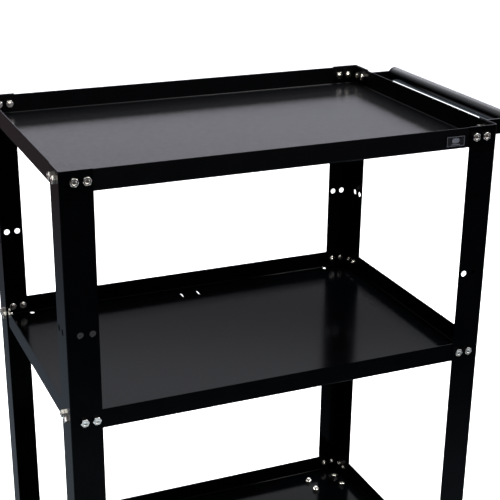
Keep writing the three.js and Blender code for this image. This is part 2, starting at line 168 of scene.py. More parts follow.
def lathe(bm, profile, axis="z", centre=(0, 0, 0), sides=48):
    """Turns (radius, distance) points about an axis. A closed line of points makes a ring."""
    middle = Vector(centre)
    rings = []
    for radius, along in profile:
        count = sides if radius > ON_AXIS else 1
        angles = [2 * math.pi * i / sides for i in range(count)]
        points = [on_axis(axis, radius * math.cos(a), radius * math.sin(a), along) for a in angles]
        rings.append([bm.verts.new(middle + Vector(p)) for p in points])
    is_ring = profile[0][0] > ON_AXIS and profile[-1][0] > ON_AXIS
    bridge(bm, rings, closed=is_ring)


def arc(centre, radius, start, end, steps):
    """Points on a circle from one angle to another, in degrees."""
    angles = [math.radians(start + (end - start) * i / steps) for i in range(steps + 1)]
    return [(centre[0] + radius * math.cos(a), centre[1] + radius * math.sin(a)) for a in angles]


def rounded_rectangle(half_x, half_y, radius, steps=4, centre=(0, 0)):
    points = []
    for quarter, (sx, sy) in enumerate([(1, 1), (-1, 1), (-1, -1), (1, -1)]):
        middle = (centre[0] + sx * (half_x - radius), centre[1] + sy * (half_y - radius))
        points += arc(middle, radius, 90 * quarter, 90 * quarter + 90, steps)
    return points


def circle(radius, centre=(0, 0), sides=24):
    return arc(centre, radius, 0, 360 * (1 - 1 / sides), sides - 1)


def combine(bm, tools, operation):
    """The exact boolean of two meshes, as a new mesh. Both are used up."""
    holders = []
    for shape in (bm, tools):
        bmesh.ops.recalc_face_normals(shape, faces=shape.faces)
        mesh = bpy.data.meshes.new("working")
        shape.to_mesh(mesh)
        shape.free()
        holders.append(link_object("working", mesh))
    body, tool = holders
    modifier = body.modifiers.new("combine", "BOOLEAN")
    modifier.object = tool
    modifier.operation = operation
    modifier.solver = "EXACT"
    modifier.use_self = operation == "UNION"
    graph = bpy.context.evaluated_depsgraph_get()
    result = bmesh.new()
    result.from_object(body, graph)
    for holder in holders:
        mesh = holder.data
        bpy.data.objects.remove(holder)
        bpy.data.meshes.remove(mesh)
    bmesh.ops.remove_doubles(result, verts=result.verts, dist=MERGE)
    return result


def round_edges(bm, width, angle=40):
    """Rounds every edge that is sharper than the angle."""
    bmesh.ops.recalc_face_normals(bm, faces=bm.faces)
    limit = math.radians(angle)
    sharp = [e for e in bm.edges if len(e.link_faces) == 2 and e.calc_face_angle(0) > limit]
    bmesh.ops.bevel(
        bm, geom=sharp, offset=width, offset_type="OFFSET", segments=2, profile=0.5,
        affect="EDGES", clamp_overlap=True,
    )


def corner_name(sx, sy):
    """The name of the corner on these sides, such as front_left."""
    return f"{'front' if sy < 0 else 'back'}_{'left' if sx < 0 else 'right'}"


def body_of(node):
    """The body that a CAD node rides on."""
    return frame["nodes"][node]["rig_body"]


def link_object(name, data):
    """Puts a mesh, light or camera into the scene."""
    thing = bpy.data.objects.new(name, data)
    bpy.context.scene.collection.objects.link(thing)
    return thing


def append(bm, other, look=0):
    """Adds another mesh, which takes the piece's material with this number, and uses it up."""
    for face in other.faces:
        face.material_index = look
    mesh = bpy.data.meshes.new("working")
    other.to_mesh(mesh)
    other.free()
    bm.from_mesh(mesh)
    bpy.data.meshes.remove(mesh)


def make_piece(name, bm, look, body="chassis", stands_for=(), sharp=32):
    """Turns a working mesh into a shown piece on a body, smooth up to the sharp angle in degrees."""
    bmesh.ops.recalc_face_normals(bm, faces=bm.faces)
    bm.transform(TO_ROW)
    mesh = bpy.data.meshes.new(name)
    bm.to_mesh(mesh)
    bm.free()
    for finish in look if isinstance(look, list) else [look]:
        mesh.materials.append(finish)
    mesh.shade_smooth()
    mesh.set_sharp_from_angle(angle=math.radians(sharp))
    piece = link_object(name, mesh)
    normals = piece.modifiers.new("normals", "WEIGHTED_NORMAL")
    normals.keep_sharp = True
    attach(piece, body)
    if stands_for:
        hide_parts(*stands_for)
    return piece


# ---------- materials ----------

NOISE_LOW, NOISE_HIGH = 0.3, 0.7  # between these lies nearly all of a noise node's output


def ramp(tree, source, stops):
    """Turns a value from 0 to 1 into a colour, through (position, colour) stops."""
    node = tree.nodes.new("ShaderNodeValToRGB")
    elements = node.color_ramp.elements
    while len(elements) < len(stops):
        elements.new(0.5)
    for element, (at, colour) in zip(elements, stops):
        element.position = at
        element.color = (*colour, 1)
    tree.links.new(source, node.inputs["Fac"])
    return node.outputs["Color"]


def map_range(tree, source, given, wanted):
    """Stretches a value from the given range to the wanted one, and holds it at the ends."""
    node = tree.nodes.new("ShaderNodeMapRange")
    for key, value in zip(("From Min", "From Max", "To Min", "To Max"), (*given, *wanted)):
        node.inputs[key].default_value = value
    tree.links.new(source, node.inputs["Value"])
    return node.outputs["Result"]


class Nodes:
    """A material's node tree with short calls for the nodes used here."""

    def __init__(self, name):
        self.material = bpy.data.materials.new(name)
        self.material.use_nodes = True
        self.tree = self.material.node_tree
        self.shader = self.tree.nodes["Principled BSDF"]
        self.place = self.tree.nodes.new("ShaderNodeTexCoord").outputs["Object"]

    def link(self, source, target):
        self.tree.links.new(source, target)

    def noise(self, scale, detail):
        """Cloudy noise, with this many clouds to a metre."""
        node = self.tree.nodes.new("ShaderNodeTexNoise")
        node.inputs["Scale"].default_value = scale
        node.inputs["Detail"].default_value = detail
        self.link(self.place, node.inputs["Vector"])
        return node.outputs["Fac"]

    def colour(self, scale, detail, dark, light):
        """A base colour that wanders between two."""
        stops = [(NOISE_LOW, dark), (NOISE_HIGH, light)]
        self.link(ramp(self.tree, self.noise(scale, detail), stops), self.shader.inputs["Base Color"])

    def gloss(self, scale, detail, rough):
        """A roughness that wanders between two."""
        value = map_range(self.tree, self.noise(scale, detail), (NOISE_LOW, NOISE_HIGH), rough)
        self.link(value, self.shader.inputs["Roughness"])

    def bump(self, source, strength, distance, base=None):
        """Noise as relief, on top of the base relief if there is one."""
        node = self.tree.nodes.new("ShaderNodeBump")
        node.inputs["Strength"].default_value = strength
        node.inputs["Distance"].default_value = distance
        self.link(source, node.inputs["Height"])
        if base:
            self.link(base, node.inputs["Normal"])
        return node.outputs["Normal"]

    def set(self, **values):
        """Sets the shader's own inputs; an underscore stands for a space."""
        for key, value in values.items():
            self.shader.inputs[key.replace("_", " ")].default_value = value


def powder_coat(name, sheen, rough, haze=0.0):
    """Black semi-gloss powder paint: orange peel, a fine grain and slightly uneven gloss."""
    n = Nodes(name)
    n.colour(30, 4, (0.0002, 0.0003, 0.0004), (0.0004, 0.0005, 0.0007))
    n.gloss(160, 4, rough)
    peel = n.bump(n.noise(520, 2), 0.05, 0.0003)
    grain = n.bump(n.noise(3000, 2), 0.14, 0.00005, peel)
    n.link(grain, n.shader.inputs["Normal"])
    n.set(IOR=1.46, Specular_IOR_Level=sheen, Coat_Weight=haze, Coat_Roughness=0.5)
    return n.material


def plated(name, dark, light, rough, scale):
    """Zinc plate, bright or dull, with a faint mottle and a fine grain."""
    n = Nodes(name)
    n.colour(scale, 4, dark, light)
    n.gloss(scale * 2.3, 3, rough)
    fine = n.bump(n.noise(3200, 2), 0.12, 0.00005)
    n.link(n.bump(n.noise(260, 3), 0.10, 0.0003, fine), n.shader.inputs["Normal"])
    n.set(Metallic=1.0)
    return n.material


def moulded(name, dark, light, rough, grain_scale, grain):
    """Rubber, plastic or print with a grained skin and a slightly uneven tone."""
    n = Nodes(name)
    n.colour(70, 5, dark, light)
    n.gloss(160, 4, rough)
    n.link(n.bump(n.noise(grain_scale, 3), grain, 0.0002), n.shader.inputs["Normal"])
    return n.material


PAINT = powder_coat("black_powder_coat", 0.03, (0.12, 0.15))
TOP_PAINT = powder_coat("top_shelf_powder_coat", 0.03, (0.18, 0.22), haze=0.05)
TUBE_PAINT = powder_coat("handle_powder_coat", 0.36, (0.14, 0.18))
ZINC = plated("bright_zinc", (0.62, 0.58, 0.50), (0.88, 0.84, 0.76), (0.10, 0.19), 300)
CASTER_STEEL = plated("plated_steel", (0.50, 0.52, 0.54), (0.68, 0.69, 0.70), (0.26, 0.42), 90)
RUBBER = moulded(
    "tyre_rubber", (0.012, 0.012, 0.013), (0.024, 0.024, 0.025), (0.55, 0.75), 1400, 0.25,
)
CORE_PLASTIC = moulded(
    "wheel_core_plastic", (0.060, 0.063, 0.068), (0.080, 0.083, 0.088), (0.38, 0.52), 1100, 0.15,
)
PEDAL_PLASTIC = moulded(
    "pedal_plastic", (0.30, 0.016, 0.012), (0.38, 0.022, 0.016), (0.35, 0.50), 1200, 0.2,
)
LABEL_FACE = moulded(
    "label_face", (0.0008, 0.0009, 0.0014), (0.0014, 0.0015, 0.0022), (0.25, 0.33), 900, 0.05,
)
LABEL_PRINT = moulded(
    "label_print", (0.040, 0.043, 0.052), (0.062, 0.065, 0.076), (0.35, 0.45), 900, 0.05,
)

# ---------- sheet metal ----------


def pan(half_x, half_y, bottom, rim):
    """A folded tray: two skins joined at the rim, with round folds and tight upright corners."""
    tightest = 0.35
    bm = bmesh.new()
    centre = (TRAY_BEND, bottom + TRAY_BEND)
    inside = arc(centre, TRAY_BEND - TRAY_SHEET, 270, 180, 7)
    outside = arc(centre, TRAY_BEND, 180, 270, 8)
    line = inside + [(TRAY_SHEET, rim), (0, rim)] + outside
    rings = []
    for inset, z in line:
        radius = max(TRAY_CORNER - inset, tightest)
        outline = rounded_rectangle(half_x - inset, half_y - inset, radius)
        rings.append([bm.verts.new((x, y, z)) for x, y in outline])
    bridge(bm, rings)
    bm.faces.new(rings[0])
    bm.faces.new(rings[-1])
    return bm


def tray(level):
    """A shelf: the pan with its bolt holes, and the holes and slots that its floor has."""
    low, high = TRAYS[level]
    rim, bottom = high.z, low.z
    bm = pan(TRAY_HALF_LENGTH, TRAY_HALF_WIDTH, bottom, rim)
    through_floor = (bottom - PAST_FLOOR, bottom + TRAY_SHEET + PAST_FLOOR)
    tools = bmesh.new()
    z = rim - BOLT_BELOW_RIM
    for sx, sy in CORNERS:
        side_wall, end_wall = sy * TRAY_HALF_WIDTH, sx * TRAY_HALF_LENGTH
        for pitch in HOLE_PITCH:
            x, y = sx * (HALF_LENGTH - pitch), sy * (HALF_WIDTH - pitch)
            for axis, at, wall in (("y", (x, z), side_wall), ("x", (y, z), end_wall)):
                prism(tools, circle(TRAY_HOLE / 2, at), wall - PAST, wall + PAST, axis)
        if level == "middle":
            hole_x = sx * (HALF_LENGTH - FLOOR_HOLE["from_end"])
            hole_y = sy * (HALF_WIDTH - FLOOR_HOLE["from_side"])
            prism(tools, circle(FLOOR_HOLE["across"] / 2, (hole_x, hole_y)), *through_floor)
    if level == "bottom":
        for cx, cy in CASTERS.values():
            for hx, hy in PLATE_HOLES:
                prism(tools, circle(PLATE["hole"] / 2, (cx + hx, cy + hy)), *through_floor)
    elif level == "middle":
        for side in (-1, 1):
            middle = (side * SLOT["x"], HALF_WIDTH - SLOT["from_back"])
            outline = rounded_rectangle(SLOT["width"] / 2, SLOT["length"] / 2, SLOT["end"], 5, middle)
            prism(tools, outline, *through_floor)
    bm = combine(bm, tools, "DIFFERENCE")
    round_edges(bm, EDGE)
    paint = TOP_PAINT if level == "top" else PAINT
    make_piece(f"{level}_shelf_pan", bm, paint, stands_for=[f"{level}_tray"])


def post(sx, sy):
    """An angle post with a round fold and the bolt holes of every level, one of them unused."""
    inner = POST_BEND - POST_SHEET
    side_face, end_face = sy * HALF_WIDTH, sx * HALF_LENGTH

    def at(x, y):
        return sx * (HALF_LENGTH - x), sy * (HALF_WIDTH - y)

    outer_fold = [at(POST_BEND - POST_BEND * math.sin(a), POST_BEND - POST_BEND * math.cos(a))
                  for a in [math.radians(90 * i / 8) for i in range(9)]]
    inner_fold = [at(POST_BEND - inner * math.cos(a), POST_BEND - inner * math.sin(a))
                  for a in [math.radians(90 * i / 6) for i in range(7)]]
    outline = [at(POST_LEG, 0), *outer_fold, at(0, POST_LEG), at(POST_SHEET, POST_LEG), *inner_fold,
               at(POST_LEG, POST_SHEET)]
    bm = bmesh.new()
    prism(bm, outline, POST_BOTTOM, POST_TOP)
    tools = bmesh.new()
    levels = [high.z - BOLT_BELOW_RIM for _, high in TRAYS.values()] + [TOP_RIM - SPARE_HOLE_DROP]
    for z in levels:
        for pitch in HOLE_PITCH:
            x, y = at(pitch, pitch)
            prism(tools, circle(POST_HOLE / 2, (x, z)), side_face - PAST, side_face + PAST, "y")
            prism(tools, circle(POST_HOLE / 2, (y, z)), end_face - PAST, end_face + PAST, "x")
    bm = combine(bm, tools, "DIFFERENCE")
    round_edges(bm, EDGE)
    corner = corner_name(sx, sy)
    make_piece(f"angle_post_{corner}", bm, PAINT, stands_for=[f"post_{corner}"])


# ---------- fasteners ----------

HEX_STEPS = 6  # points along each side of a hexagon
CHAMFER_SHARE = 0.95  # a hexagon's flat end face, as a share of the distance across its flats
CHAMFER_SLOPE = math.tan(math.radians(28))
DISH = [(0.66, 0.0), (0.52, 0.55), (0.0, 0.7)]  # a head's hollow: share of its end face, and depth
BORE_CHAMFER = 0.5
SHANK_LAP = 0.5  # how far a shank runs into its head, and its plain part into its nut
BORE_GAP = 0.05  # between a nut's bore and the bolt
THREAD_PITCH = 1.0
THREAD_DEPTH = 0.42
NUT_TURN = 0.35  # how far a nut is turned from its bolt's head, in radians


def hexagon_ring(across, turn=0.0):
    """(angle, radius) round a hexagon, with several points on each side."""
    ring = []
    for i in range(6 * HEX_STEPS):
        angle = 2 * math.pi * i / (6 * HEX_STEPS)
        from_flat = (angle + math.pi / 6) % (math.pi / 3) - math.pi / 6
        ring.append((angle + turn, across / 2 / math.cos(from_flat)))
    return ring


def hexagon_body(bm, across, low, high, turn=0.0, bore=0.0, chamfer_low=True, dished=False):
    """A hexagon along Z with the turned chamfers that leave arcs on its sides; bored, dished or plain."""
    crown = across / 2 * CHAMFER_SHARE
    ring = hexagon_ring(across, turn)

    def level(radius_of, height_of):
        points = [(angle, radius_of(r), height_of(r)) for angle, r in ring]
        return [bm.verts.new((radius * math.cos(a), radius * math.sin(a), z)) for a, radius, z in points]

    rings = []
    if chamfer_low:
        rings.append(level(lambda r: crown, lambda r: low))
        rings.append(level(lambda r: r, lambda r: low + (r - crown) * CHAMFER_SLOPE))
    else:
        rings.append(level(lambda r: r, lambda r: low))
    rings.append(level(lambda r: r, lambda r: high - (r - crown) * CHAMFER_SLOPE))
    rings.append(level(lambda r: crown, lambda r: high))
    if bore:
        rings.append(level(lambda r: bore + BORE_CHAMFER, lambda r: high))
        rings.append(level(lambda r: bore, lambda r: high - BORE_CHAMFER))
        rings.append(level(lambda r: bore, lambda r: low))
        bridge(bm, rings, closed=True)
        return
    middle_depth = 0
    if dished:
        (lip, _), (foot, depth), (_, middle_depth) = DISH
        rings.append(level(lambda r: crown * lip, lambda r: high))
        rings.append(level(lambda r: crown * foot, lambda r: high - depth))
    rings.append([bm.verts.new((0, 0, high - middle_depth))])
    bridge(bm, rings)
    bm.faces.new(rings[0])


def threaded_end(bm, radius, start, thread_start, end):
    """A bolt's shank along Z, plain from start and threaded down to its chamfered end."""
    half_pitch = THREAD_PITCH / 2
    profile = [(0, start), (radius, start), (radius, thread_start)]
    z = thread_start
    while z - THREAD_PITCH > end + half_pitch:
        profile += [(radius - THREAD_DEPTH, z - half_pitch), (radius, z - THREAD_PITCH)]
        z -= THREAD_PITCH
    profile += [(radius - half_pitch, end), (0, end)]
    lathe(bm, profile, sides=20)


OUTWARD = {  # turns that lay the Z axis along an axis, out of the cart
    ("x", 1): Matrix.Rotation(math.pi / 2, 4, "Y"),
    ("x", -1): Matrix.Rotation(-math.pi / 2, 4, "Y"),
    ("y", 1): Matrix.Rotation(-math.pi / 2, 4, "X"),
    ("y", -1): Matrix.Rotation(math.pi / 2, 4, "X"),
    ("z", -1): Matrix.Rotation(math.pi, 4, "X"),
}


def bolt(bm, face, outward, at, packing, sheets, spin):
    """A hexagon bolt and nut through sheets. Its head sits at packing outside the face.

    outward is the axis and its sign, at the two other coordinates, sheets the depth that it clamps
    and spin the angle that its head was left at.
    """
    axis, side = outward
    across, radius = BOLT["across"], BOLT["shank"] / 2
    part = bmesh.new()
    seat = FIT + packing
    hexagon_body(part, across, seat, seat + BOLT["head"], spin, chamfer_low=False, dished=True)
    nut_top = -sheets
    nut_end = nut_top - BOLT["nut"]
    hexagon_body(part, across, nut_end, nut_top, spin + NUT_TURN, bore=radius + BORE_GAP)
    tip = nut_end - BOLT["end"] + max(packing, 0)
    threaded_end(part, radius, seat + SHANK_LAP, nut_top - SHANK_LAP, tip)
    part.transform(OUTWARD[axis, side])
    bmesh.ops.translate(part, vec=on_axis(axis, *at, face), verts=part.verts)
    append(bm, part)


def shelf_bolts(level, sx, sy, dice):
    """The four bolts at one corner of a tray: two through the long side and two through the end."""
    bm = bmesh.new()
    z = TRAYS[level][1].z - BOLT_BELOW_RIM
    sheets = POST_SHEET + TRAY_SHEET + 2 * FIT
    arm = ARM["sheet"] + FIT if level == "top" and sx > 0 else 0
    for pitch in HOLE_PITCH:
        x, y = sx * (HALF_LENGTH - pitch), sy * (HALF_WIDTH - pitch)
        bolt(bm, sy * HALF_WIDTH, ("y", sy), (x, z), 0, sheets, dice.uniform(0, 1))
        bolt(bm, sx * HALF_LENGTH, ("x", sx), (y, z), arm, sheets, dice.uniform(0, 1))
    corner = f"{level}_{corner_name(sx, sy)}"
    stands_for = [f"bolt_{corner}_long", f"bolt_{corner}_end"]
    make_piece(f"shelf_bolts_{corner}", bm, ZINC, stands_for=stands_for, sharp=24)


# ---------- handle ----------

TUBE_LOW, TUBE_HIGH = span("handle_tube")
TUBE_RADIUS = (TUBE_HIGH.z - TUBE_LOW.z) / 2
TUBE_X = (TUBE_LOW.x + TUBE_HIGH.x) / 2
TUBE_Z = (TUBE_LOW.z + TUBE_HIGH.z) / 2


def handle_tube():
    bm = bmesh.new()
    half, bore = TUBE_HIGH.y, TUBE_RADIUS - TUBE_WALL
    rounding = 0.4
    profile = [
        (bore, -half), (TUBE_RADIUS - rounding, -half), (TUBE_RADIUS, -half + rounding),
        (TUBE_RADIUS, half - rounding), (TUBE_RADIUS - rounding, half), (bore, half),
    ]
    lathe(bm, profile, "y", (TUBE_X, 0, TUBE_Z), 72)
    make_piece("handle_grip_tube", bm, TUBE_PAINT, stands_for=["handle_tube"])


def weld_bead(sy, dice):
    """A rippled bead round the tube's end, laid on the arm's inner face."""
    sides, ripples, steps = 96, 26, 8
    inset = 0.05  # keeps the bead under the tube's outermost lines
    bm = bmesh.new()
    start = sy * (TUBE_HIGH.y + FIT / 2)
    rings = []
    for i in range(sides):
        angle = 2 * math.pi * i / sides
        ripple = 0.5 + 0.5 * math.cos(angle * ripples + dice.uniform(-0.3, 0.3))
        reach = 3.4 + 0.35 * ripple
        swell = 0.10 + 0.22 * ripple
        ring = []
        for step in range(steps + 1):
            share = step / steps
            radius = TUBE_RADIUS - 0.5 + (0.5 + swell) * math.sin(math.pi * min(1, share + 0.18))
            x = min(TUBE_X + radius * math.cos(angle), TUBE_HIGH.x - inset)
            z = min(TUBE_Z + radius * math.sin(angle), TUBE_HIGH.z - inset)
            ring.append(bm.verts.new((x, start - sy * reach * share, z)))
        rings.append(ring)
    bridge(bm, rings, closed=True)
    name = f"handle_weld_{'front' if sy < 0 else 'back'}"
    make_piece(name, bm, PAINT, sharp=60)


def arm_section(start, flange_end, web_end):
    """The arm seen from above, with y counted from the middle of the cart: flange, round fold and web."""
    sheet, fold = ARM["sheet"], ARM["fold"]
    web_in = TUBE_HIGH.y + FIT
    centre = (start + fold, web_in + fold)
    return [
        (start + sheet, flange_end),
        (start, flange_end),
        *arc(centre, fold, 180, 270, 7),
        (web_end, web_in),
        (web_end, web_in + sheet),
        *arc(centre, fold - sheet, 270, 180, 5),
    ]


def arm_outline(start, bottom):
    """The arm seen from the side: straight at the post, with a round end about the tube."""
    top = TOP_RIM - ARM["flange_below_rim"]
    eye_end = 180 - math.degrees(math.asin((top - TUBE_Z) / TUBE_RADIUS))
    eye = arc((TUBE_X, TUBE_Z), TUBE_RADIUS, -90, eye_end, 28)
    return [(start, top), (start, bottom), (TUBE_X - TUBE_RADIUS, bottom), *eye]


def handle_arm(sy):
    """A plate folded into an L: a flange bolted on the post and a web with a round end behind the tube."""
    side = "front" if sy < 0 else "back"
    low, high = span(f"handle_arm_{side}")
    flange_end = abs(low.y) if sy < 0 else high.y
    section = arm_section(low.x, flange_end, high.x + ARM_SPARE["long"])
    bm = bmesh.new()
    prism(bm, [(x, sy * y) for x, y in section], low.z - ARM_SPARE["high"], high.z + ARM_SPARE["high"])
    trim = bmesh.new()
    prism(trim, arm_outline(low.x - 1, low.z), -HALF_LENGTH, HALF_LENGTH, "y")
    bm = combine(bm, trim, "INTERSECT")
    tools = bmesh.new()
    for pitch in HOLE_PITCH:
        at = (sy * (HALF_WIDTH - pitch), TOP_RIM - BOLT_BELOW_RIM)
        prism(tools, circle(TRAY_HOLE / 2, at), low.x - 1, low.x + ARM["sheet"] + 1, "x")
    bm = combine(bm, tools, "DIFFERENCE")
    round_edges(bm, EDGE)
    make_piece(f"handle_bracket_{side}", bm, PAINT, stands_for=[f"handle_arm_{side}"])


# ---------- label ----------

def label():
    """A blank rating plate: a dark face with a thin light border, a plain patch and a line."""
    low, high = span("label_plate")
    x, z = (low.x + high.x) / 2, (low.z + high.z) / 2
    half_x, half_z = (high.x - low.x) / 2, (high.z - low.z) / 2
    front = low.y
    face_front, print_front, print_back = front + 0.12, front + 0.02, front + 0.2
    border_outside, border_inside = 0.4, 0.85  # distances from the label's edge
    bm = bmesh.new()
    prism(bm, rounded_rectangle(half_x, half_z, 0.8, 4, (x, z)), face_front, high.y, "y")
    round_edges(bm, 0.12)
    printed = bmesh.new()
    edge = rounded_rectangle(half_x - border_outside, half_z - border_outside, 0.7, 4, (x, z))
    inner = rounded_rectangle(half_x - border_inside, half_z - border_inside, 0.4, 4, (x, z))
    loops = [(edge, print_front), (edge, print_back), (inner, print_back), (inner, print_front)]
    rings = [[printed.verts.new((u, y, v)) for u, v in outline] for outline, y in loops]
    bridge(printed, rings, closed=True)
    patch = rounded_rectangle(5.6, 3.3, 2.8, 6, (x - 0.3, z + 0.9))
    line = rounded_rectangle(7.0, 0.55, 0.5, 3, (x - 0.3, z - 4.3))
    for outline in (patch, line):
        prism(printed, outline, print_front, print_back, "y")
    append(bm, printed, look=1)
    make_piece("blank_label", bm, [LABEL_FACE, LABEL_PRINT], stands_for=["label_plate"])


# ---------- casters ----------

def caster_centres():
    """The middle of each caster's plate. Swivel casters stand at the handle end, rigid ones opposite."""
    places = {}
    for sx, sy in CORNERS:
        corner = corner_name(sx, sy)
        node = f"caster_plate_{corner}" if sx > 0 else f"rigid_fork_{corner}"
        low, high = span(node)
        places[corner] = ((low.x + high.x) / 2, (low.y + high.y) / 2)
    return places


CASTERS = caster_centres()


def at_caster(bm, corner):
    """Moves a shape drawn with the plate's top centre at the origin to its corner."""
    bmesh.ops.translate(bm, vec=(*CASTERS[corner], CASTER_TOP), verts=bm.verts)


def at_axle(bm, corner):
    """Moves a shape drawn round the origin to a corner's wheel axle."""
    x, y = CASTERS[corner]
    trail = FORK["trail"] if "right" in corner else 0
    bmesh.ops.translate(bm, vec=(x + trail, y, AXLE_HEIGHT), verts=bm.verts)


def caster_piece(name, bm, look, node, sharp=32):
    """A shown piece that stands for one CAD node and rides on that node's body."""
    make_piece(name, bm, look, body=body_of(node), stands_for=[node], sharp=sharp)


def plate_shape():
    """A mounting plate with round corners and four bolt holes."""
    outline = rounded_rectangle(PLATE["length"] / 2, PLATE["width"] / 2, PLATE["corner"], 8)
    bm = bmesh.new()
    prism(bm, outline, -PLATE["sheet"], 0)
    tools = bmesh.new()
    for at in PLATE_HOLES:
        prism(tools, circle(PLATE["hole"] / 2, at), -PLATE["sheet"] - 1, 1)
    return combine(bm, tools, "DIFFERENCE")


def swivel_plate(corner):
    """The plate with the upper race pressed into it, and the stepped hole for the kingpin."""
    bm = plate_shape()
    race = bmesh.new()
    lathe(race, [
        (8.6, -2.0), (20.4, -2.0), (21.0, -2.8), (20.6, -4.2), (19.0, -7.4), (18.2, -8.0),
        (5.8, -8.0), (5.8, -4.4), (8.6, -4.4),
    ], sides=56)
    tools = bmesh.new()
    lathe(tools, [(0, 1), (9, 1), (9, -4.2), (5.6, -4.2), (5.6, -9), (0, -9)], sides=40)
    bm = combine(bm, race, "UNION")
    bm = combine(bm, tools, "DIFFERENCE")
    round_edges(bm, 0.35)
    at_caster(bm, corner)
    caster_piece(f"swivel_plate_{corner}", bm, CASTER_STEEL, f"caster_plate_{corner}")


def kingpin(corner):
    """A rivet with a domed head in the plate and a spread foot under the fork's crown."""
    bm = bmesh.new()
    lathe(bm, [
        (0, -17.5), (5.2, -17.5), (6.9, -16.9), (7.4, -15.9), (7.4, -14.9), (5.0, -14.8),
        (5.0, -3.8), (7.9, -3.8), (7.9, -2.0), (6.8, -1.0), (4.2, -0.65), (0, -0.6),
    ], sides=40)
    at_caster(bm, corner)
    caster_piece(f"king_pin_{corner}", bm, ZINC, f"kingpin_{corner}")


def ball_race(corner):
    """The closed ring of the ball race, crowned between plate and crown."""
    bm = bmesh.new()
    lathe(bm, [
        (14.6, -11.3), (14.6, -8.7), (15.2, -8.35), (17.6, -8.35), (18.3, -8.8), (18.45, -10.0),
        (18.3, -11.2), (17.6, -11.65), (15.2, -11.65),
    ], sides=56)
    at_caster(bm, corner)
    caster_piece(f"race_ring_{corner}", bm, ZINC, f"ball_race_{corner}")


def tangent_angle(x, z, eye, radius, side):
    """Where a line from a point touches a circle, as the angle on that circle in degrees."""
    dx, dz = x - eye[0], z - eye[1]
    return math.degrees(math.atan2(dz, dx)) + side * math.degrees(math.acos(radius / math.hypot(dx, dz)))


def cheek_outline(top, back_x, front_x, axle_x, ear=None):
    """One side of a fork: broad at the top, with a round eye at the axle and a brake ear if there is one."""
    eye = (axle_x, -AXLE_DOWN)
    start = tangent_angle(back_x, top, eye, FORK["eye"], 1)
    lower = ear[-1] if ear else (front_x, top)
    end = tangent_angle(lower[0], lower[1], eye, FORK["eye"], -1) + 360
    outline = [(front_x, top), (back_x, top), *arc(eye, FORK["eye"], start, end, 24)]
    return outline + (ear[::-1] if ear else [])


def fork_shape(outline):
    """The two cheeks of a fork."""
    bm = bmesh.new()
    for side in (-1, 1):
        near, far = sorted((side * FORK["inside"], side * FORK_OUTSIDE))
        prism(bm, outline, near, far, "y")
    return bm


def swivel_fork(corner):
    """A fork under a round crown that turns on the kingpin, with ears for the brake's hinge pin."""
    px, pz = BRAKE_PIVOT
    top = CROWN["top"]
    bottom = top - CROWN["sheet"]
    ear = [(px - 2, top + 1), (px + 5, top - 1), (px + 6, pz - 5), (px + 1, pz - 14)]
    bm = fork_shape(cheek_outline(top, -15, 20, FORK["trail"], ear))
    rim, soft = CROWN["radius"], CROWN["radius"] - 0.8
    crown = bmesh.new()
    lathe(crown, [
        (0, bottom), (soft, bottom), (rim, bottom + 0.7), (rim, top - 0.7), (soft, top), (0, top),
    ], sides=56)
    bm = combine(bm, crown, "UNION")
    bridge_plate = bmesh.new()
    half, reach = FORK["inside"] + 1, 24
    prism(bridge_plate, [(0, -half), (reach, -half), (reach, half), (0, half)], bottom, top)
    bm = combine(bm, bridge_plate, "UNION")
    tools = bmesh.new()
    prism(tools, circle(BRAKE_PIN_HOLE / 2, BRAKE_PIVOT), -PAST_CASTER, PAST_CASTER, "y")
    prism(tools, axle_hole(FORK["trail"]), -PAST_CASTER, PAST_CASTER, "y")
    prism(tools, circle(5.6, sides=40), -PAST_CASTER, -5)
    bm = combine(bm, tools, "DIFFERENCE")
    round_edges(bm, CASTER_EDGE)
    at_caster(bm, corner)
    caster_piece(f"caster_fork_{corner}", bm, CASTER_STEEL, f"swivel_fork_{corner}")


def axle_hole(trail):
    return circle(FORK["axle_hole"] / 2, (trail, -AXLE_DOWN))


def rigid_bracket(corner):
    """A plate and two cheeks pressed in one piece."""
    bm = plate_shape()
    bm = combine(bm, fork_shape(cheek_outline(-PLATE["sheet"] / 2, -17, 17, 0)), "UNION")
    tools = bmesh.new()
    prism(tools, axle_hole(0), -PAST_CASTER, PAST_CASTER, "y")
    bm = combine(bm, tools, "DIFFERENCE")
    round_edges(bm, CASTER_EDGE)
    at_caster(bm, corner)
    caster_piece(f"caster_bracket_{corner}", bm, CASTER_STEEL, f"rigid_fork_{corner}")


def tyre(corner):
    """A round-shouldered tread with three shallow grooves."""
    tread, groove_foot = AXLE_HEIGHT, AXLE_HEIGHT - 0.45
    half, inner = 10, 32.6
    shoulder = [(inner, half), (35.4, half), (36.6, half - 0.5), (37.4, half - 1.5), (37.8, half - 3)]
    profile = [(radius, -y) for radius, y in shoulder]
    for y in (-3.2, 0, 3.2):
        profile += [(tread, y - 0.8), (groove_foot, y - 0.45), (groove_foot, y + 0.45), (tread, y + 0.8)]
    profile += shoulder[::-1]
    bm = bmesh.new()
    lathe(bm, profile, "y", sides=96)
    at_axle(bm, corner)
    caster_piece(f"rubber_tyre_{corner}", bm, RUBBER, f"tyre_{corner}", sharp=50)


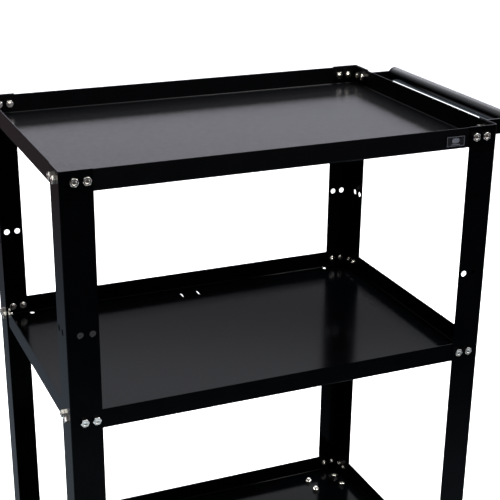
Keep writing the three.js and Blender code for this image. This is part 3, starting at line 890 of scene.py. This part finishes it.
def wheel_core(corner):
    """A moulded centre: hub, thin web and rim, with ribs on both faces."""
    rim, bore, hub, rim_half, web_half = 32.3, 4.5, 11, 9.5, 2.0
    rib_count, rib_half = 8, 0.9
    face = [
        (bore, hub), (8.4, hub), (9.2, hub - 0.6), (9.8, web_half), (28.0, web_half),
        (29.2, rim_half - 0.5), (29.8, rim_half), (rim, rim_half),
    ]
    bm = bmesh.new()
    lathe(bm, [(radius, -y) for radius, y in face] + face[::-1], "y", sides=72)
    rib_outline = [(8.8, -8.6), (28.9, -7.4), (28.9, 7.4), (8.8, 8.6)]
    ribs = bmesh.new()
    for i in range(rib_count):
        rib = bmesh.new()
        prism(rib, rib_outline, -rib_half, rib_half)
        rib.transform(Matrix.Rotation(2 * math.pi * i / rib_count, 4, "Y"))
        append(ribs, rib)
    bm = combine(bm, ribs, "UNION")
    round_edges(bm, 0.3, angle=50)
    at_axle(bm, corner)
    caster_piece(f"wheel_centre_{corner}", bm, CORE_PLASTIC, f"wheel_core_{corner}")


def axle_bolt(corner):
    """A bolt through fork and wheel, with its nut."""
    across, head, radius = AXLE_BOLT["across"], AXLE_BOLT["head"], AXLE_BOLT["shank"] / 2
    face = FORK_OUTSIDE + FIT
    bm = bmesh.new()
    hexagon_body(bm, across, face, face + head, 0.2, chamfer_low=False, dished=True)
    hexagon_body(bm, across, -face - head, -face, 0.5, bore=radius + BORE_GAP)
    thread_end = -face - head - AXLE_BOLT["end"]
    threaded_end(bm, radius, face + SHANK_LAP, -face - SHANK_LAP, thread_end)
    bm.transform(Matrix.Rotation(math.pi / 2, 4, "X"))
    at_axle(bm, corner)
    caster_piece(f"axle_screw_{corner}", bm, ZINC, f"axle_bolt_{corner}", sharp=24)


def brake_pedal(corner):
    """A lever between the cheeks with a ribbed foot tread, on a riveted pin."""
    px, pz = BRAKE_PIVOT
    half = 11.6
    top, tread_start, tread_end, tread_drop = pz + 3.2, px + 20, px + 46, 5.2
    lever = [
        (px - 5, pz - 1), (px - 2, pz - 5), (px + 11, pz - 7), (tread_start, pz - 3),
        (tread_end - 1, pz - 6), (tread_end, top - tread_drop), (tread_start, top), (px, top),
    ]
    bm = bmesh.new()
    prism(bm, lever, -half, half, "y")
    ribs = bmesh.new()
    rib_half = half - 1.5
    for i in range(7):
        low_x = tread_start + 2 + 3.3 * i
        high_x = low_x + 1.4
        share = ((low_x + high_x) / 2 - tread_start) / (tread_end - tread_start)
        z = top - tread_drop * share
        low_z, high_z = z - 2, z + 0.75
        outline = [(low_x, low_z), (high_x, low_z), (high_x, high_z), (low_x, high_z)]
        prism(ribs, outline, -rib_half, rib_half, "y")
    bm = combine(bm, ribs, "UNION")
    round_edges(bm, 0.5)
    start = FORK_OUTSIDE + FIT
    pin_end = [(2.5, start), (4.0, start), (3.9, start + 1.0), (2.6, start + 1.75), (0, start + 1.75)]
    pin = bmesh.new()
    lathe(pin, [(radius, -y) for radius, y in pin_end[::-1]] + pin_end, "y", (px, 0, pz), 32)
    append(bm, pin, look=1)
    at_caster(bm, corner)
    looks = [PEDAL_PLASTIC, ZINC]
    caster_piece(f"brake_lever_{corner}", bm, looks, f"brake_pedal_{corner}")


def caster_bolts(corner, dice):
    """The four bolts that hold a caster's plate, heads below and nuts in the bottom tray."""
    bm = bmesh.new()
    cx, cy = CASTERS[corner]
    under_plate = CASTER_TOP - PLATE["sheet"]
    sheets = PLATE["sheet"] + FIT + TRAY_SHEET
    for hx, hy in PLATE_HOLES:
        bolt(bm, under_plate, ("z", -1), (cx + hx, cy + hy), -FIT, sheets, dice.uniform(0, 1))
    make_piece(f"caster_bolts_{corner}", bm, ZINC, sharp=24)


# ---------- build ----------

def caster(corner, dice):
    if "right" in corner:
        swivel_plate(corner)
        kingpin(corner)
        ball_race(corner)
        swivel_fork(corner)
        brake_pedal(corner)
    else:
        rigid_bracket(corner)
    tyre(corner)
    wheel_core(corner)
    axle_bolt(corner)
    caster_bolts(corner, dice)


def cart():
    dice = random.Random(7)
    for level in TRAYS:
        tray(level)
    for sx, sy in CORNERS:
        post(sx, sy)
    for level in TRAYS:
        for sx, sy in CORNERS:
            shelf_bolts(level, sx, sy, dice)
    handle_tube()
    for side in (-1, 1):
        handle_arm(side)
        weld_bead(side, dice)
    label()
    for corner in CASTERS:
        caster(corner, dice)


cart()

# ---------- studio ----------

FLOOR_HALF = 40  # metres, as is everything in the studio
BACKDROP_RADIUS = 25
FLOOR_GREY = 0.92
BACKDROP_GLOW = 1.05


def studio_surface(name, bm, grey, glow):
    """A matt surface that isn't part of the object and isn't seen in its reflections."""
    mesh = bpy.data.meshes.new(name)
    bm.to_mesh(mesh)
    bm.free()
    paint = bpy.data.materials.new(name)
    paint.use_nodes = True
    inputs = paint.node_tree.nodes["Principled BSDF"].inputs
    inputs["Base Color"].default_value = (grey, grey, grey, 1)
    inputs["Roughness"].default_value = 0.9
    inputs["Specular IOR Level"].default_value = 0.0
    inputs["Emission Color"].default_value = (1, 1, 1, 1)
    inputs["Emission Strength"].default_value = glow
    mesh.materials.append(paint)
    surface = link_object(name, mesh)
    surface.visible_glossy = False
    return surface


def floor():
    bm = bmesh.new()
    bmesh.ops.create_grid(bm, x_segments=4, y_segments=4, size=FLOOR_HALF)
    studio_surface("studio_floor", bm, FLOOR_GREY, 0.0)


def backdrop():
    """A plain white wall all round, which only the camera sees."""
    bm = bmesh.new()
    bmesh.ops.create_uvsphere(bm, u_segments=64, v_segments=32, radius=BACKDROP_RADIUS)
    wall = studio_surface("studio_backdrop", bm, 0.0, BACKDROP_GLOW)
    wall.visible_diffuse = False
    wall.visible_transmission = False
    wall.visible_volume_scatter = False
    wall.visible_shadow = False


SKY = [  # sine of the elevation, and what the studio sends from there
    (-1.00, (0.85, 0.88, 0.92)),
    (-0.50, (1.00, 1.20, 1.42)),
    (-0.44, (0.88, 1.06, 1.28)),
    (-0.38, (0.56, 0.66, 0.80)),
    (-0.30, (0.50, 0.38, 0.41)),
    (-0.10, (0.44, 0.34, 0.36)),
    (0.08, (0.60, 0.66, 0.80)),
    (0.17, (0.70, 0.76, 0.90)),
    (0.21, (1.20, 1.21, 1.42)),
    (0.25, (2.00, 1.95, 2.30)),
    (0.29, (4.50, 4.42, 4.90)),
    (0.32, (3.00, 3.00, 3.20)),
    (0.35, (0.30, 0.30, 0.30)),
    (0.41, (0.26, 0.26, 0.26)),
    (0.45, (2.90, 2.96, 3.26)),
    (0.51, (2.90, 2.96, 3.20)),
    (0.62, (1.40, 1.40, 1.46)),
    (1.00, (1.70, 1.70, 1.74)),
]
SKY_PEAK = 5.0

FADES = {  # an axis of the direction that light comes from, and where along it a fade starts and ends
    "behind": ("Y", -0.3, 0.5),
    "ahead": ("Y", -0.3, -0.6),
    "leftward": ("X", 0.18, 0.02),
    "beyond_middle": ("X", 0.05, -0.2),
    "far_left": ("X", -0.22, -0.42),
    "below": ("Z", 0.0, -0.15),
    "sunk": ("Z", -0.02, -0.16),
    "over_floor": ("Z", -0.16, -0.02),
    "off_floor": ("Z", -0.52, -0.44),
    "under_top": ("Z", 0.42, 0.27),
    "under_overhead": ("Z", 0.7, 0.4),
    "high": ("Z", 0.3, 0.42),
}
SHADES = [  # fades that work together, and the share of the light that is left where all are full
    (("behind", "below"), 0.45),  # low behind the cart
    (("leftward", "under_overhead"), 0.55),  # low on the side away from the handle
    (("far_left", "under_top", "over_floor"), 0.04),  # near the horizon, far to that side
    (("far_left", "sunk"), 3.0),  # below the horizon there, where there is more
    (("ahead", "off_floor", "below"), 0.10),  # just below the horizon on the camera's side
    (("beyond_middle", "high"), 0.5),  # above the horizon, beyond the middle of the far side
]


def world():
    """A studio that is bright above, dim round the horizon and light again towards the floor."""
    studio = bpy.data.worlds.new("studio")
    bpy.context.scene.world = studio
    studio.use_nodes = True
    tree = studio.node_tree
    background = tree.nodes["Background"]
    place = tree.nodes.new("ShaderNodeTexCoord")
    direction = tree.nodes.new("ShaderNodeSeparateXYZ")
    tree.links.new(place.outputs["Generated"], direction.inputs["Vector"])

    def product(first, second):
        node = tree.nodes.new("ShaderNodeMath")
        node.operation = "MULTIPLY"
        tree.links.new(first, node.inputs[0])
        tree.links.new(second, node.inputs[1])
        return node.outputs["Value"]

    def fade(name):
        axis, start, end = FADES[name]
        return map_range(tree, direction.outputs[axis], (start, end), (0, 1))

    height = map_range(tree, direction.outputs["Z"], (-1, 1), (0, 1))
    stops = [((sine + 1) / 2, [part / SKY_PEAK for part in colour]) for sine, colour in SKY]
    tree.links.new(ramp(tree, height, stops), background.inputs["Color"])
    shades = []
    for fades, share in SHADES:
        full = functools.reduce(product, map(fade, fades))
        shades.append(map_range(tree, full, (0, 1), (1, share)))
    strength = map_range(tree, functools.reduce(product, shades), (0, 1), (0, SKY_PEAK))
    tree.links.new(strength, background.inputs["Strength"])


def soft_light(name, place, target, side, watts):
    """A square overhead light, which the camera doesn't see."""
    data = bpy.data.lights.new(name, "AREA")
    data.shape = "SQUARE"
    data.size = side
    data.energy = watts
    lamp = link_object(name, data)
    lamp.location = place
    lamp.rotation_mode = "QUATERNION"
    lamp.rotation_quaternion = (Vector(target) - Vector(place)).to_track_quat("-Z", "Y")
    lamp.visible_camera = False


CAMERA = {  # place and reach in metres, angles in radians, lens and sensor in millimetres
    "place": (-0.66463, -1.53018, 1.26992),
    "yaw": 0.4113,
    "pitch": 0.38868,
    "roll": 0.01173,
    "lens": 86.633,
    "sensor": 36,
    "shift": 0.066,
    "reach": 200,
}


def camera():
    """The camera: turned by the yaw from +Y towards +X, pitched down, then rolled."""
    yaw, pitch, roll = CAMERA["yaw"], CAMERA["pitch"], CAMERA["roll"]
    forward = Vector((math.sin(yaw) * math.cos(pitch), math.cos(yaw) * math.cos(pitch), -math.sin(pitch)))
    level = Vector((math.cos(yaw), -math.sin(yaw), 0))
    right = level * math.cos(roll) + level.cross(forward) * math.sin(roll)
    up = right.cross(forward)
    data = bpy.data.cameras.new("camera")
    data.lens = CAMERA["lens"]
    data.sensor_width = CAMERA["sensor"]
    data.shift_y = CAMERA["shift"]
    data.clip_end = CAMERA["reach"]
    eye = link_object("camera", data)
    turn = Matrix((right, up, -forward)).transposed().to_4x4()
    eye.matrix_world = Matrix.Translation(CAMERA["place"]) @ turn
    bpy.context.scene.camera = eye


floor()
backdrop()
world()
soft_light("overhead", (0.0, 0.3, 3.2), (0, 0, 0), 3.6, 200)
soft_light("overhead_right", (1.3, -0.5, 3.3), (0, 0, 0.8), 0.9, 120)
camera()
bpy.context.scene.view_settings.view_transform = "Standard"
